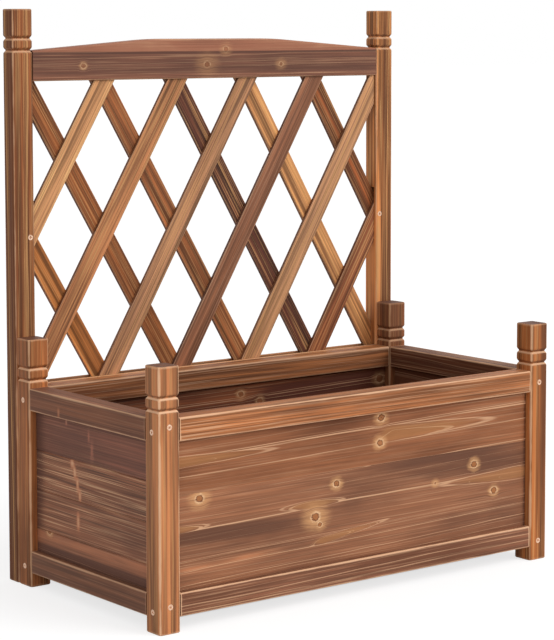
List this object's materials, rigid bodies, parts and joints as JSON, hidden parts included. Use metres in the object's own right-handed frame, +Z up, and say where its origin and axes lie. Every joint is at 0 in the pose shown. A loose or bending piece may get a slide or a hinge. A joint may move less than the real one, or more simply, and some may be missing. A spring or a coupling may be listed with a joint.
{
  "type": "planter with trellis",
  "caption": "Rectangular wooden floor planter box on corner posts with a diamond lattice trellis along its back, for climbing plants.",
  "frame": {"origin": "on the ground, under the middle of the whole object", "axes": "+X to the right along the width as seen from the front, +Y from the front to the trellis at the back, +Z up"},
  "size_m": [0.64, 0.35, 0.746],
  "materials": {
    "post_wood": "scorched and brushed fir with a thin clear stain, edges worn light, satin",
    "rail_wood": "scorched and brushed fir with a thin clear stain, satin",
    "board_wood": "scorched fir board with pale grain lines and knots, satin",
    "lattice_wood": "scorched and brushed fir slat, each one a little different in tone, satin",
    "crown_wood": "dark scorched fir with a lighter reddish band along the top, satin",
    "floor_wood": "plainly sawn fir, lightly scorched, matt"
  },
  "bodies": {
    "root": {"post_front_left": "post_wood", "post_front_right": "post_wood", "rail_front_low": "rail_wood", "rail_front_high": "rail_wood", "board_front_1": "board_wood", "board_front_2": "board_wood", "post_rear_left": "post_wood", "post_rear_right": "post_wood", "rail_rear_low": "rail_wood", "rail_rear_high": "rail_wood", "board_rear_1": "board_wood", "board_rear_2": "board_wood", "rail_left_low": "rail_wood", "rail_left_high": "rail_wood", "board_left_1": "board_wood", "board_left_2": "board_wood", "board_left_3": "board_wood", "board_left_4": "board_wood", "rail_right_low": "rail_wood", "rail_right_high": "rail_wood", "board_right_1": "board_wood", "board_right_2": "board_wood", "board_right_3": "board_wood", "board_right_4": "board_wood", "floor_slat_1": "floor_wood", "floor_slat_2": "floor_wood", "floor_slat_3": "floor_wood", "floor_slat_4": "floor_wood", "floor_slat_5": "floor_wood", "floor_slat_6": "floor_wood", "floor_slat_7": "floor_wood", "floor_slat_8": "floor_wood", "trellis_post_left": "post_wood", "trellis_post_right": "post_wood", "trellis_crown_rail": "crown_wood", "trellis_foot_rail": "rail_wood", "lattice_front_1": "lattice_wood", "lattice_front_2": "lattice_wood", "lattice_front_3": "lattice_wood", "lattice_front_4": "lattice_wood", "lattice_front_5": "lattice_wood", "lattice_front_6": "lattice_wood", "lattice_rear_1": "lattice_wood", "lattice_rear_2": "lattice_wood", "lattice_rear_3": "lattice_wood", "lattice_rear_4": "lattice_wood", "lattice_rear_5": "lattice_wood", "lattice_rear_6": "lattice_wood"}
  },
  "joints": []
}
